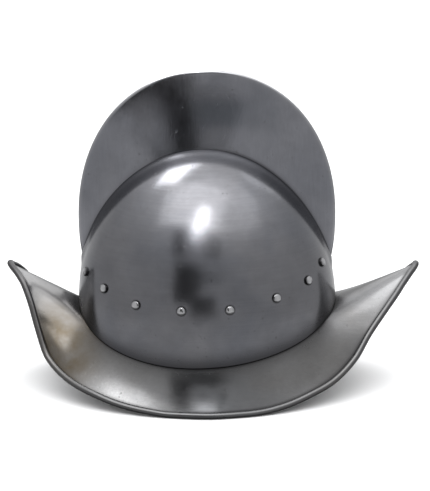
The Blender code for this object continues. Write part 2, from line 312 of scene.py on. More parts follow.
# Hand work in the surface: how far it wanders, over what distance, and how near the joints it fades
DENT = 0.00016
DENT_SPAN = 0.034
SWEEP = 0.00022
SWEEP_SPAN = 0.085
SWEEP_START = (7.3, 1.9, 4.1)
CALM_BY_SEAM = 0.02
CALM_BY_CREASE = 0.012
CALM_ROWS = BRIM_ROWS / 5

# Camera and photograph
IMAGE_WIDTH = 430
IMAGE_HEIGHT = 491
SENSOR = 0.036
TILT = math.radians(17)
CAMERA_DISTANCE = 3.2
SIZE_OF_PIXEL = 0.000906
MIDDLE_PIXEL = (207.0, 296.0)

LEVEL = ROLL_RADIUS * math.cos(math.radians(15)) - EDGE_LOW
PLACE = Vector((MIDDLE_X, 0.0, LEVEL))


# Formulas of the shape

def clamped(value):
    return min(max(value, 0.0), 1.0)


def sharp_fade(distance, reach):
    """One at a place and fading at once with the distance from it."""
    return math.exp(-max(distance, 0.0) / reach)


def soft_fade(distance, reach):
    """One round a place and fading only about as far away as the reach."""
    return math.exp(-(distance / reach) ** 2)


def smooth_through(rows, at, column):
    """Value at a place on the smooth curve through one column of a table."""
    places = [row[0] for row in rows]
    values = [row[column] for row in rows]
    last = len(rows) - 1
    index = min(max(int(np.searchsorted(places, at)) - 1, 0), last - 1)

    def slope(k):
        if k in (0, last):
            return 0.0
        before = (values[k] - values[k - 1]) / (places[k] - places[k - 1])
        after = (values[k + 1] - values[k]) / (places[k + 1] - places[k])
        if before * after <= 0:
            return 0.0
        return 2 * before * after / (before + after)

    width = places[index + 1] - places[index]
    share = (at - places[index]) / width
    low = values[index] * (1 + 2 * share) * (1 - share) ** 2
    high = values[index + 1] * share ** 2 * (3 - 2 * share)
    rise = slope(index) * width * share * (1 - share) ** 2
    fall = slope(index + 1) * width * share ** 2 * (share - 1)
    return low + high + rise + fall


def solve(function, low, high):
    """Place between low and high where a rising function crosses zero."""
    for _ in range(44):
        middle = (low + high) / 2
        if function(middle) > 0:
            high = middle
        else:
            low = middle
    return (low + high) / 2


def signed_power(value, power):
    return math.copysign(abs(value) ** power, value)


def plan_direction(turn):
    """Point of the unit plan curve at an angle from the front."""
    x = signed_power(math.cos(turn), 2 / PLAN_FULLNESS)
    y = signed_power(math.sin(turn), 2 / PLAN_FULLNESS)
    return x, y


def plan_turn(point):
    """Angle from the front of a point of the skull, undoing plan_direction."""
    x = signed_power(point.x / SKULL_HALF_LENGTH, PLAN_FULLNESS / 2)
    y = signed_power(point.y / SKULL_HALF_WIDTH, PLAN_FULLNESS / 2)
    return math.atan2(y, x)


def seam_height(turn):
    along = plan_direction(turn)[0]
    room = 1 - SEAM_LOW_AT if along >= SEAM_LOW_AT else 1 + SEAM_LOW_AT
    power = SEAM_FRONT_POWER if along >= SEAM_LOW_AT else SEAM_BACK_POWER
    across = 1 - ((along - SEAM_LOW_AT) / room) ** 2
    rounded = math.sqrt(max(across, 0.0) + SEAM_END_ROUND ** 2) - SEAM_END_ROUND
    return -SEAM_DIP * (rounded / (math.sqrt(1 + SEAM_END_ROUND ** 2) - SEAM_END_ROUND)) ** power


def skull_point(turn, height):
    """Point of the skull's outer face at a plan angle and a height above the seam level."""
    power = DOME_FULLNESS - DOME_LEAN * math.cos(turn)
    up = min(max(height, 0.0) / SKULL_RISE, 1.0)
    spread = (1 - up ** power) ** (1 / power)
    spread -= SKULL_TUCK * (min(height, 0.0) / SEAM_DIP) ** 2
    x, y = plan_direction(turn)
    return Vector((SKULL_HALF_LENGTH * x * spread, SKULL_HALF_WIDTH * y * spread, height))


def skull_normal(turn, height):
    step = 0.0005
    around = skull_point(turn + step, height) - skull_point(turn - step, height)
    upward = skull_point(turn, height + step) - skull_point(turn, height - step)
    return around.cross(upward).normalized()


def skull_reach(angle, half_width):
    """Distance from the skull's middle to its outer face, in a lengthwise upright plane."""
    def outside(reach):
        x = reach * math.cos(angle)
        z = reach * math.sin(angle)
        across = (abs(x) / SKULL_HALF_LENGTH) ** PLAN_FULLNESS
        across += (half_width / SKULL_HALF_WIDTH) ** PLAN_FULLNESS
        power = DOME_FULLNESS - DOME_LEAN * x / SKULL_HALF_LENGTH
        return across ** (power / PLAN_FULLNESS) + (z / SKULL_RISE) ** power - 1
    return solve(outside, 0.0, SKULL_HALF_LENGTH + SKULL_RISE)


def comb_reach(angle):
    """Distance from the skull's middle to the comb's outline."""
    def outside(reach):
        x = abs(reach * math.cos(angle)) / COMB_HALF_LENGTH
        z = abs(reach * math.sin(angle) - COMB_WIDEST_AT) / COMB_RISE
        return x ** COMB_FULLNESS + z ** COMB_FULLNESS - 1
    return solve(outside, COMB_WIDEST_AT * math.sin(angle), COMB_HALF_LENGTH + COMB_WIDEST_AT + COMB_RISE)


def comb_end(stand, half_width, toward_back):
    """Angle above the seam level where the comb stands this far off the skull."""
    def stands(angle):
        real = math.pi - angle if toward_back else angle
        return comb_reach(real) - skull_reach(real, half_width) - stand
    return solve(stands, math.radians(5), math.radians(60))


def comb_half_width(share):
    """Half the comb's thickness at its root, from 0 at the front end to 1 at the back end."""
    swell = max(math.sin(math.pi * share), 0.0) ** COMB_SWELL
    return COMB_END_HALF_WIDTH + (COMB_HALF_WIDTH - COMB_END_HALF_WIDTH) * swell


COMB_FRONT = comb_end(COMB_END_STAND, COMB_END_HALF_WIDTH, False)
COMB_BACK = math.pi - comb_end(COMB_END_STAND, COMB_END_HALF_WIDTH, True)


def crease_gap(point):
    """Distance of a point of the skull from the comb's crease."""
    angle = math.atan2(point.z, point.x)
    share = (angle - COMB_FRONT) / (COMB_BACK - COMB_FRONT)
    beyond = max(-share, share - 1, 0.0) * (COMB_BACK - COMB_FRONT)
    reach = math.hypot(point.x, point.z)
    half_width = comb_half_width(clamped(share))
    return math.hypot(max(abs(point.y) - half_width, 0.0), beyond * reach)


def edge_point(turn):
    """Middle line of the rolled edge."""
    forward = math.cos(turn) >= 0
    reach = FRONT_REACH if forward else BACK_REACH
    tip = FRONT_TIP if forward else BACK_TIP
    table = FRONT_EDGE if forward else BACK_EDGE
    from_tip = math.degrees(math.acos(min(abs(math.cos(turn)), 1.0)))
    fullness = smooth_through(table, from_tip, 1)
    climb = smooth_through(table, from_tip, 2)
    return Vector((
        reach * math.cos(turn),
        BRIM_HALF_WIDTH * fullness * math.sin(turn),
        EDGE_LOW + (tip - EDGE_LOW) * climb,
    ))


def edge_turn(turn):
    """Place on the edge that faces a place on the seam: the brim fans out from the skull."""
    return turn + BRIM_FAN * math.sin(2 * turn)


def turns():
    """Plan angles of the stations, closer together towards the brim's points."""
    even = [2 * math.pi * k / STATIONS for k in range(STATIONS)]
    return [turn - STATION_CROWD * math.sin(2 * turn) for turn in even]


def waves(point):
    """How far the hand-worked surface stands off the true shape."""
    small = noise.noise(point / DENT_SPAN)
    large = noise.noise(point / SWEEP_SPAN + Vector(SWEEP_START))
    return DENT * small + SWEEP * large


# Meshes

def piece(name, shape, node_names, material):
    """A piece of the visual model from a mesh made in the skull's frame."""
    bmesh.ops.recalc_face_normals(shape, faces=shape.faces)
    bmesh.ops.translate(shape, verts=shape.verts, vec=PLACE)
    mesh = bpy.data.meshes.new(name)
    shape.to_mesh(mesh)
    shape.free()
    item = bpy.data.objects.new(name, mesh)
    bpy.context.scene.collection.objects.link(item)
    mesh.materials.append(material)
    mesh.shade_smooth()
    mesh.set_sharp_from_angle(angle=math.radians(40))
    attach(item, "root")
    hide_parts(*node_names)
    return item


def bridge(shape, rings, closed_ring, closed_run):
    """Faces between rings of points that follow one another."""
    made = [[shape.verts.new(point) for point in ring] for ring in rings]
    pairs = list(zip(made, made[1:]))
    if closed_run:
        pairs.append((made[-1], made[0]))
    for ring, following in pairs:
        count = len(ring) if closed_ring else len(ring) - 1
        for k in range(count):
            after = (k + 1) % len(ring)
            shape.faces.new((ring[k], ring[after], following[after], following[k]))
    return made


def half_loft(rings):
    """Both halves of a closed body from rings that run from the middle plane out and back to it."""
    shape = bmesh.new()
    full = []
    for ring in rings:
        other = [Vector((point.x, -point.y, point.z)) for point in ring[-2:0:-1]]
        full.append(ring + other)
    made = bridge(shape, full, True, False)
    shape.faces.new(made[0][::-1])
    shape.faces.new(made[-1])
    bmesh.ops.recalc_face_normals(shape, faces=shape.faces)
    return shape


def cut_away(shape, tool):
    """The shape less the tool, by an exact Boolean on temporary objects."""
    items = []
    for name, source in (("whole", shape), ("tool", tool)):
        mesh = bpy.data.meshes.new(name)
        source.to_mesh(mesh)
        source.free()
        item = bpy.data.objects.new(name, mesh)
        bpy.context.scene.collection.objects.link(item)
        items.append(item)
    whole, tool_item = items
    cut = whole.modifiers.new("cut", "BOOLEAN")
    cut.operation = "DIFFERENCE"
    cut.solver = "EXACT"
    cut.object = tool_item
    result = bmesh.new()
    result.from_object(whole, bpy.context.evaluated_depsgraph_get())
    for item in items:
        mesh = item.data
        bpy.data.objects.remove(item, do_unlink=True)
        bpy.data.meshes.remove(mesh)
    return result


def skull_heights(seam):
    """Heights of the skull's rows: a few close together at the rim, then even ones to the top."""
    rise = SKULL_RISE - seam
    rim = [seam + offset for offset in RIM_ROWS]
    first = math.degrees(math.asin(FIRST_ROW / rise))
    steps = [first + (LAST_ROW_ANGLE - first) * k / SKULL_ROWS for k in range(SKULL_ROWS + 1)]
    return rim + [seam + rise * math.sin(math.radians(step)) for step in steps]


def skull_shell():
    """The skull's two faces, joined along the rim."""
    columns = []
    for turn in turns():
        seam = seam_height(turn)
        outer = []
        inner = []
        for height in skull_heights(seam):
            normal = skull_normal(turn, height)
            point = skull_point(turn, height)
            over_seam = height - seam
            stand = min(over_seam / CALM_BY_SEAM, 1.0) * waves(point)
            stand += CREASE_LIFT * soft_fade(crease_gap(point), CREASE_SPREAD)
            under_round = max(RIM_ROUND - over_seam, 0.0) / RIM_ROUND
            rounded_off = RIM_ROUND * (1 - math.sqrt(1 - under_round * under_round))
            outer.append(point + normal * (stand - rounded_off))
            inner.append(point + normal * (stand - SHEET))
        columns.append(inner[::-1] + outer)
    shape = bmesh.new()
    made = bridge(shape, columns, False, True)
    for end, height in ((0, SKULL_RISE - SHEET), (-1, SKULL_RISE)):
        top = shape.verts.new((0.0, 0.0, height))
        for column, following in zip(made, made[1:] + made[:1]):
            shape.faces.new((column[end], following[end], top))
    bmesh.ops.recalc_face_normals(shape, faces=shape.faces)
    return shape


def comb_slot():
    """The slot that the comb's root passes through."""
    slack = GAP / skull_reach(COMB_FRONT, COMB_END_HALF_WIDTH)
    rings = []
    count = COMB_STATIONS // 2
    for k in range(count + 1):
        angle = COMB_FRONT + (COMB_BACK - COMB_FRONT) * k / count
        half_width = comb_half_width(k / count)
        crease = skull_reach(angle, half_width)
        if k == 0:
            angle -= slack
        if k == count:
            angle += slack
        low = crease - SHEET - 2 * COMB_ROOT
        high = crease + COMB_ROOT
        width = half_width + GAP
        places = ((low, 0.0), (low, width), (high, width), (high, 0.0))
        rings.append([Vector((r * math.cos(angle), w, r * math.sin(angle))) for r, w in places])
    return half_loft(rings)


def comb_ring(angle, share, wall):
    """Half section of the comb, or of its hollow where a wall is given."""
    half_width = comb_half_width(share)
    crease = skull_reach(angle, half_width)
    crest = comb_reach(angle)
    root = crease - SHEET - COMB_ROOT - 3 * wall
    span = crest - crease
    places = [(root, 0.0), (root, half_width - wall)]
    for k in range(COMB_ROWS + 1):
        along = math.sin(math.pi / 2 * k / COMB_ROWS)
        taper = (1 - along) ** COMB_TAPER
        thick = CREST_HALF_WIDTH + (half_width - CREST_HALF_WIDTH) * taper
        reach = crease + span * along
        round_from = crest - CREST_ROUND
        if reach > round_from:
            over = (reach - round_from) / CREST_ROUND
            thick *= math.sqrt(max(1 - over * over, 0.0))
        at_hollow_top = wall and (thick - wall < GAP or along > HOLLOW_TOP)
        if at_hollow_top or k == COMB_ROWS:
            break
        places.append((reach, thick - wall))
    top = crest
    if wall:
        last = places[-1][0]
        top = last + (crest - last) * HOLLOW_CLOSE
    places.append((top, 0.0))
    ring = []
    for reach, width in places:
        point = Vector((reach * math.cos(angle), width, reach * math.sin(angle)))
        lift = max(reach - crease, 0.0)
        calm = min(lift / CALM_BY_CREASE, 1.0) * min(width / CREST_HALF_WIDTH, 1.0)
        point.y += calm * waves(point)
        ring.append(point)
    return ring


def comb_body():
    rings = []
    for k in range(COMB_STATIONS + 1):
        share = k / COMB_STATIONS
        angle = COMB_FRONT + (COMB_BACK - COMB_FRONT) * share
        rings.append(comb_ring(angle, share, 0.0))
    return half_loft(rings)


def comb_hollow():
    depth = CREST_SOLID + SHEET
    start = comb_end(depth, COMB_END_HALF_WIDTH, False)
    finish = math.pi - comb_end(depth, COMB_END_HALF_WIDTH, True)
    count = COMB_STATIONS // 2
    rings = []
    for k in range(count + 1):
        angle = start + (finish - start) * k / count
        share = (angle - COMB_FRONT) / (COMB_BACK - COMB_FRONT)
        rings.append(comb_ring(angle, share, SHEET))
    rows = min(len(ring) for ring in rings)
    return half_loft([ring[:rows - 1] + [ring[-1]] for ring in rings])


def roll_frame(turn):
    """Level outward direction and upward direction across the rolled edge."""
    step = math.pi / 64
    along = (edge_point(turn + step) - edge_point(turn - step)).normalized()
    outward = along.cross(Vector((0, 0, 1))).normalized()
    return outward, outward.cross(along)


def stretched(grid, share):
    """The grid eased like a skin held by its first and last rows, as far as each station's share."""
    weight = share[:, None, None]
    for _ in range(SKIN_STEPS):
        around = np.roll(grid, 1, axis=0) + np.roll(grid, -1, axis=0)
        eased = (around[:, 1:-1] + grid[:, 2:] + grid[:, :-2]) / 4
        grid[:, 1:-1] += weight * (eased - grid[:, 1:-1])
    return grid


def brim_rings():
    """Closed sections of the brim: collar, upper face, roll and under face."""
    down = Vector((0, 0, -1))
    stations = []
    sheet = []
    for turn in turns():
        seam = seam_height(turn)
        foot = skull_point(turn, seam)
        level = skull_normal(turn, min(seam, -0.001))
        level.z = 0.0
        level.normalize()
        lip = skull_point(turn, seam + BRIM_COLLAR)
        collar = [
            lip - level * (2 * SHEET + GAP),
            lip - level * (SHEET + GAP),
            foot - level * (SHEET + GAP) + down * GAP,
            foot - level * (SHEET / 2) + down * GAP,
        ]
        edge = edge_point(edge_turn(turn))
        outward, upward = roll_frame(edge_turn(turn))
        near = foot + down * GAP
        inner = near - edge
        meet = math.atan2(inner.dot(upward), inner.dot(outward)) % (2 * math.pi)
        across = edge + ROLL_RADIUS * (math.cos(meet) * outward + math.sin(meet) * upward) - near
        flat = Vector((across.x, across.y, 0.0)).normalized()
        rise = Vector((-flat.x * across.z, -flat.y * across.z, flat.dot(across))).normalized()
        depth = BRIM_DISH * math.sin(turn) ** 2
        shares = [k / BRIM_ROWS for k in range(BRIM_ROWS + 1)]
        sheet.append([near + across * s - rise * depth * 4 * s * (1 - s) for s in shares])
        stations.append((collar, edge, outward, upward, meet, rise))
    ends = np.array([
        clamped((abs(math.cos(turn)) - EASED_FROM) / EASED_OVER)
        * min(abs(math.sin(turn)) / EASED_OFF_AXIS, 1.0)
        for turn in turns()
    ])
    sheet = stretched(np.array(sheet), ends)
    rings = []
    for row, (collar, edge, outward, upward, meet, rise) in zip(sheet, stations):
        upper = []
        for k, place in enumerate(row):
            point = Vector(place)
            calm = min(k, BRIM_ROWS - k) / CALM_ROWS
            upper.append(point + rise * min(calm, 1.0) * waves(point))
        start = meet - ROLL_CORNER
        finish = meet - 2 * math.pi + math.asin(SHEET / ROLL_RADIUS) + ROLL_CORNER
        angles = [start + (finish - start) * k / ROLL_ROWS for k in range(ROLL_ROWS + 1)]
        bends = [(angle, ROLL_RADIUS) for angle in angles]
        bends.append((finish - ROLL_CORNER / 2, ROLL_RADIUS - ROLL_NOTCH))
        ring = collar + upper
        ring += [edge + radius * (math.cos(angle) * outward + math.sin(angle) * upward)
                 for angle, radius in bends]
        ring += [point - rise * SHEET for point in reversed(upper[1:-1])]
        ring.append(collar[0] + (collar[2] - collar[1]) + down * COLLAR_FOOT)
        for point in ring:
            point.z = max(point.z, -LEVEL)
        rings.append(ring)
    return rings


def brim_sheet(rings):
    shape = bmesh.new()
    bridge(shape, rings, True, True)
    return shape


def rivet_place(name):
    """Where a rivet crosses the skull's outer face, and which way it points."""
    low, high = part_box(name)
    centre = (low + high) / 2 - PLACE
    turn = plan_turn(centre)
    height = centre.z
    for _ in range(3):
        normal = skull_normal(turn, height)
        foot = centre - normal * (centre - skull_point(turn, height)).dot(normal)
        turn = plan_turn(foot)
        height = foot.z
    normal = skull_normal(turn, height)
    return Matrix.Translation(foot) @ normal.to_track_quat("Z", "X").to_matrix().to_4x4()


def rivet_shape(number):
    """A domed head, hammered a little off round, with its shank and its peened tail."""
    shape = bmesh.new()
    seed = Vector((number * 3.7, number * 1.3, number * 5.1))
    squash = 1 + HEAD_SQUASH * noise.noise(seed)
    profile = []
    for step in map(math.radians, HEAD_STEPS):
        radius = min(HEAD_FLAT + HEAD_RADIUS * math.sin(step), HEAD_RADIUS)
        profile.append((radius, GAP + HEAD_HEIGHT * math.cos(step)))
    profile.extend(RIVET_FOOT)
    rings = []
    for radius, height in profile:
        ring = []
        for k in range(RIVET_SIDES):
            turn = 2 * math.pi * k / RIVET_SIDES
            point = Vector((radius * math.cos(turn) * squash, radius * math.sin(turn) / squash, height))
            point *= 1 + HEAD_WOBBLE * noise.noise(point / HEAD_WOBBLE_SPAN + seed)
            ring.append(point)
        rings.append(ring)
    made = bridge(shape, rings, True, False)
    shape.faces.new(made[0])
    shape.faces.new(made[-1][::-1])
    return shape


# Marks on the meshes that the materials read

def mark(item, name, values):
    layer = item.data.attributes.new(name, "FLOAT", "POINT")
    layer.data.foreach_set("value", np.asarray(values, dtype=np.float32))


def patch_strength(point, patch):
    """How strong a round patch is at a point."""
    place, size, weight = patch
    return weight * soft_fade((point - Vector(place)).length, size)


def mark_skull(item):
    """Grime and painted shade along the seam and beside the comb, with a wider band of painted shade over
    the seam.
    """
    grime_and_shade = []
    for vert in item.data.vertices:
        point = vert.co - PLACE
        over = max(point.z - seam_height(plan_turn(point)), 0.0)
        # Grime and painted shade in a thin line at the seam, and a wider band of painted shade over it
        seam = max(sharp_fade(over, SEAM_GRIME_AND_SHADE), SEAM_SHADE_STRENGTH * soft_fade(over, SEAM_SHADE))
        grime_and_shade.append(max(seam, sharp_fade(crease_gap(point), CREASE_GRIME_AND_SHADE)))
    mark(item, "grime_and_shade", grime_and_shade)


def mark_comb(item):
    """Grime and painted shade along the foot, wear along the crest and painted bluish reflections on the
    sides.
    """
    grime_and_shade = []
    wear_and_sheen = []
    painted_reflection = []
    for vert in item.data.vertices:
        point = vert.co - PLACE
        # Painted dark bluish reflections on the sides
        painted_reflection.append(sum(
            weight * math.exp(-((point.x - x) / length) ** 4 - ((point.z - z) / height) ** 4)
            for x, z, length, height, weight in PAINTED_COMB_REFLECTIONS
        ))
        angle = math.atan2(point.z, point.x)
        share = clamped((angle - COMB_FRONT) / (COMB_BACK - COMB_FRONT))
        reach = math.hypot(point.x, point.z)
        # Grime and painted shade along the comb's foot
        grime_and_shade.append(sharp_fade(reach - skull_reach(angle, comb_half_width(share)), COMB_GRIME_AND_SHADE))
        wear_and_sheen.append(sharp_fade(comb_reach(angle) - reach, CREST_WEAR))
    mark(item, "grime_and_shade", grime_and_shade)
    mark(item, "wear_and_sheen", wear_and_sheen)
    mark(item, "painted_reflection", painted_reflection)


def mark_rivet(item, place):
    """Painted shade round the rim of a head, a painted highlight on its crown."""
    back = place.inverted()
    grime_and_shade = []
    wear_and_sheen = []
    for vert in item.data.vertices:
        local = back @ (vert.co - PLACE)
        out = math.hypot(local.x, local.y) / HEAD_RADIUS
        grime_and_shade.append(clamped((out - HEAD_UNSHADED) / (1 - HEAD_UNSHADED)) if local.z > 0 else 1.0)
        wear_and_sheen.append(max(1 - out / HEAD_HIGHLIGHT, 0.0))
    mark(item, "grime_and_shade", grime_and_shade)
    mark(item, "wear_and_sheen", wear_and_sheen)


def mark_brim(item, rings):
    """Grime and painted shade by the seam, painted shade in and round the roll and on the under face, a
    painted highlight along the roll's top, wear with painted sheen towards the points and in patches, brown
    stains and painted darker reflections.
    """
    grime_and_shade = []
    wear_and_sheen = []
    rust = []
    painted_reflection = []
    for ring in rings:
        foot = ring[BRIM_FOOT]
        reach = (ring[BRIM_FOOT + BRIM_ROWS] - foot).length
        for index, point in enumerate(ring):
            from_foot = (point - foot).length
            row = index - BRIM_FOOT - BRIM_ROWS
            on_roll = clamped(row / ROLL_ROWS)
            # Grime and painted shade by the seam; the hidden collar is painted fully dark
            corner = BRIM_SHADE_STRENGTH * soft_fade(from_foot, BRIM_SHADE)
            corner = max(corner, sharp_fade(from_foot, BRIM_GRIME_AND_SHADE))
            corner = corner if index >= BRIM_FOOT - 1 else 1.0
            if row <= 0:
                # Painted shade in the groove inside the roll
                fold = ROLL_GROOVE_SHADE_STRENGTH * sharp_fade(reach - from_foot, ROLL_GROOVE_SHADE)
                # Wear with painted sheen towards the points and in patches
                point_wear_and_sheen = FRONT_POINT_WEAR_AND_SHEEN if point.x > 0 else BACK_POINT_WEAR_AND_SHEEN
                sheen_and_wear = point_wear_and_sheen * clamped((abs(point.x) - POINT_WEAR_AND_SHEEN_FROM) / POINT_WEAR_AND_SHEEN_OVER)
                sheen_and_wear += sum(patch_strength(point, patch) for patch in WORN_AND_SHEEN_PATCHES)
            else:
                # Painted shade round the roll and on the under face
                fold = max(ROLL_SHADE + ROLL_SHADE_GROWTH * on_roll, UNDER_SHADE)
                # Painted highlight along the roll's top
                sheen_and_wear = ROLL_WEAR_AND_HIGHLIGHT * soft_fade(on_roll - ROLL_TOP, ROLL_TOP_SPREAD) if row < ROLL_ROWS else 0.0
            grime_and_shade.append(max(corner, fold))
            wear_and_sheen.append(min(sheen_and_wear, 1.0))
            browned = sum(patch_strength(point, patch) for patch in BROWN_STAINS)
            rust.append(min(browned, 1.0) * (1.0 if row <= 0 else BROWN_ON_ROLL))
            # Painted darker reflections
            painted_reflection.append(sum(patch_strength(point, patch) for patch in PAINTED_BRIM_REFLECTIONS))
    mark(item, "grime_and_shade", grime_and_shade)
    mark(item, "wear_and_sheen", wear_and_sheen)
    mark(item, "rust", rust)
    mark(item, "painted_reflection", painted_reflection)


# Materials

class Nodes:
    """Short ways to add and join the nodes of one material."""

    def __init__(self, material):
        self.tree = material.node_tree
        self.shader = self.tree.nodes["Principled BSDF"]
        self.place = self.tree.nodes.new("ShaderNodeTexCoord").outputs["Object"]

    def link(self, source, target):
        self.tree.links.new(source, target)

    def scaled(self, scale, turn=(0.0, 0.0, 0.0)):
        node = self.tree.nodes.new("ShaderNodeMapping")
        node.inputs["Scale"].default_value = scale
        node.inputs["Rotation"].default_value = turn
        self.link(self.place, node.inputs["Vector"])
        return node.outputs["Vector"]

    def pattern(self, name, vector=None):
        """Noise from the table of patterns, in the object's own space unless a vector is given."""
        node = self.tree.nodes.new("ShaderNodeTexNoise")
        for socket, value in zip(("Scale", "Detail", "Roughness", "Distortion"), PATTERNS[name]):
            node.inputs[socket].default_value = value
        self.link(vector or self.place, node.inputs["Vector"])
        return node.outputs["Fac"]

    def level(self, name, value):
        """A level from the table of levels, following a pattern's value."""
        node = self.tree.nodes.new("ShaderNodeValToRGB")
        for element, (position, level) in zip(node.color_ramp.elements, LEVELS[name]):
            element.position = position
            element.color = (level, level, level, 1.0)
        self.link(value, node.inputs["Fac"])
        return node.outputs["Color"]

    def math(self, operation, first, second=None):
        node = self.tree.nodes.new("ShaderNodeMath")
        node.operation = operation
        for socket, value in zip(node.inputs, (first, second)):
            if isinstance(value, (int, float)):
                socket.default_value = value
            elif value is not None:
                self.link(value, socket)
        return node.outputs["Value"]

    def mix(self, factor, first, second, blend="MIX"):
        node = self.tree.nodes.new("ShaderNodeMix")
        node.data_type = "RGBA"
        node.blend_type = blend
        for name, value in (("Factor", factor), ("A", first), ("B", second)):
            sockets = [s for s in node.inputs if s.name == name and s.enabled]
            socket = sockets[0]
            if isinstance(value, tuple):
                socket.default_value = (*value, 1.0)
            elif isinstance(value, (int, float)):
                socket.default_value = value
            else:
                self.link(value, socket)
        return [s for s in node.outputs if s.enabled][0]

    def close_to(self, place, inner, outer):
        """One within the inner distance of a place or of its mirror image, nought beyond the outer one."""
        mirrored = self.tree.nodes.new("ShaderNodeVectorMath")
        mirrored.operation = "ABSOLUTE"
        self.link(self.place, mirrored.inputs[0])
        split = self.tree.nodes.new("ShaderNodeSeparateXYZ")
        self.link(self.place, split.inputs["Vector"])
        sides = self.tree.nodes.new("ShaderNodeSeparateXYZ")
        self.link(mirrored.outputs["Vector"], sides.inputs["Vector"])
        joined = self.tree.nodes.new("ShaderNodeCombineXYZ")
        for axis, source in (("X", split), ("Y", sides), ("Z", split)):
            self.link(source.outputs[axis], joined.inputs[axis])
        away = self.tree.nodes.new("ShaderNodeVectorMath")
        away.operation = "DISTANCE"
        away.inputs[1].default_value = (place.x, abs(place.y), place.z)
        self.link(joined.outputs["Vector"], away.inputs[0])
        fall = self.tree.nodes.new("ShaderNodeMapRange")
        for name, value in (("From Min", inner), ("From Max", outer), ("To Min", 1.0), ("To Max", 0.0)):
            fall.inputs[name].default_value = value
        self.link(away.outputs["Value"], fall.inputs["Value"])
        return fall.outputs["Result"]

    def attribute(self, name):
        node = self.tree.nodes.new("ShaderNodeAttribute")
        node.attribute_name = name
        return node.outputs["Fac"]


def steel(name, bright, tarnish, roughness, streaks, spots=()):
    """Worn, polished steel: cloudy tarnish, fine polishing lines, stray scratches, pits, grime and painted
    shade, painted dark reflections, and wear with painted highlights.
    """
    material = bpy.data.materials.new(name)
    material.use_nodes = True
    nodes = Nodes(material)
    shader = nodes.shader
    shader.inputs["Metallic"].default_value = 1.0

    clouds = nodes.pattern("clouds")
    blotches = nodes.pattern("blotches")
    specks = nodes.pattern("specks")
    lines = nodes.pattern("lines", nodes.scaled(streaks))
    cross = nodes.pattern("cross", nodes.scaled(tuple(reversed(streaks)), CROSS_TURN))
    pits = nodes.level("pits", nodes.pattern("pits"))

    tarnished = nodes.math("MULTIPLY", nodes.level("tarnish", clouds), TARNISH_SHARE)
    colour = nodes.mix(tarnished, bright, tarnish)
    colour = nodes.mix(1.0, colour, nodes.level("dull", blotches), "MULTIPLY")
    colour = nodes.mix(1.0, colour, nodes.level("fine", lines), "MULTIPLY")
    colour = nodes.mix(nodes.math("MULTIPLY", pits, PIT_SHARE), colour, PIT_COLOUR)
    # Grime and painted shade, with painted shadow lines round the near rivets and the dark pits
    grime_and_shade = nodes.attribute("grime_and_shade")
    for place, inner, outer, strength in spots:
        spot = nodes.math("MULTIPLY", nodes.close_to(place, inner, outer), strength)
        grime_and_shade = nodes.math("MAXIMUM", grime_and_shade, spot)
    grime_and_shade = nodes.math("MULTIPLY", grime_and_shade, nodes.level("grime_and_shade", blotches))
    # Painted dark reflections on the comb and the brim
    colour = nodes.mix(nodes.attribute("painted_reflection"), colour, DARK_REFLECTION_COLOUR)
    colour = nodes.mix(grime_and_shade, colour, GRIME_AND_SHADE_COLOUR)
    # Wear with painted highlights and sheen
    sheen_and_wear = nodes.math("MULTIPLY", nodes.attribute("wear_and_sheen"), nodes.level("wear_and_sheen", specks))
    colour = nodes.mix(nodes.math("MULTIPLY", sheen_and_wear, WEAR_AND_SHEEN_SHARE), colour, WEAR_AND_SHEEN_COLOUR)
    browned = nodes.math("MULTIPLY", nodes.attribute("rust"), nodes.level("brown", blotches))
    colour = nodes.mix(browned, colour, BROWN_COLOUR)
    nodes.link(colour, shader.inputs["Base Color"])

    rough = nodes.math("MULTIPLY_ADD", blotches, BLOTCH_ROUGHNESS)
    rough.node.inputs[2].default_value = roughness - BLOTCH_ROUGHNESS / 2
    rough = nodes.math("ADD", rough, nodes.math("MULTIPLY", lines, LINE_ROUGHNESS))
    rough = nodes.math("ADD", rough, nodes.math("MULTIPLY", grime_and_shade, GRIME_AND_SHADE_ROUGHNESS))
    nodes.link(rough, shader.inputs["Roughness"])

    height = nodes.math("MULTIPLY", lines, LINE_HEIGHT)
    height = nodes.math("ADD", height, nodes.math("MULTIPLY", cross, CROSS_HEIGHT))
    height = nodes.math("ADD", height, nodes.math("MULTIPLY", specks, SPECK_HEIGHT))
    height = nodes.math("SUBTRACT", height, nodes.math("MULTIPLY", pits, PIT_DEPTH))
    bump = nodes.tree.nodes.new("ShaderNodeBump")
    bump.inputs["Strength"].default_value = 1.0
    bump.inputs["Distance"].default_value = 1.0
    nodes.link(height, bump.inputs["Height"])
    nodes.link(bump.outputs["Normal"], shader.inputs["Normal"])
    return material


def plain(name, colour, roughness):
    material = bpy.data.materials.new(name)
    material.use_nodes = True
    shader = material.node_tree.nodes["Principled BSDF"]
    shader.inputs["Base Color"].default_value = (*colour, 1.0)
    shader.inputs["Roughness"].default_value = roughness
    return material


# Helmet

# Painted shadow lines round the rivets, on the near side only
rivet_shadows = [
    (PLACE + rivet_place(name).translation, HEAD_RADIUS, HEAD_RADIUS + RIVET_LINE, RIVET_LINE_STRENGTH)
    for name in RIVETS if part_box(name)[0].y < 0
]
pit_spots = [(PLACE + Vector(place), radius / 2, radius, PIT_STRENGTH) for place, radius in PITS]
skull_steel = steel("skull_steel", (0.155, 0.155, 0.165), (0.092, 0.101, 0.122), 0.18, (30.0, 30.0, 700.0),
                    rivet_shadows + pit_spots)
comb_steel = steel("comb_steel", (0.210, 0.212, 0.230), (0.145, 0.152, 0.175), 0.12, (700.0, 700.0, 30.0))
brim_steel = steel("brim_steel", (0.165, 0.165, 0.168), (0.130, 0.122, 0.112), 0.19, (60.0, 500.0, 500.0))
rivet_steel = steel("rivet_steel", (0.38, 0.38, 0.39), (0.26, 0.26, 0.26), 0.14, (400.0, 400.0, 400.0))

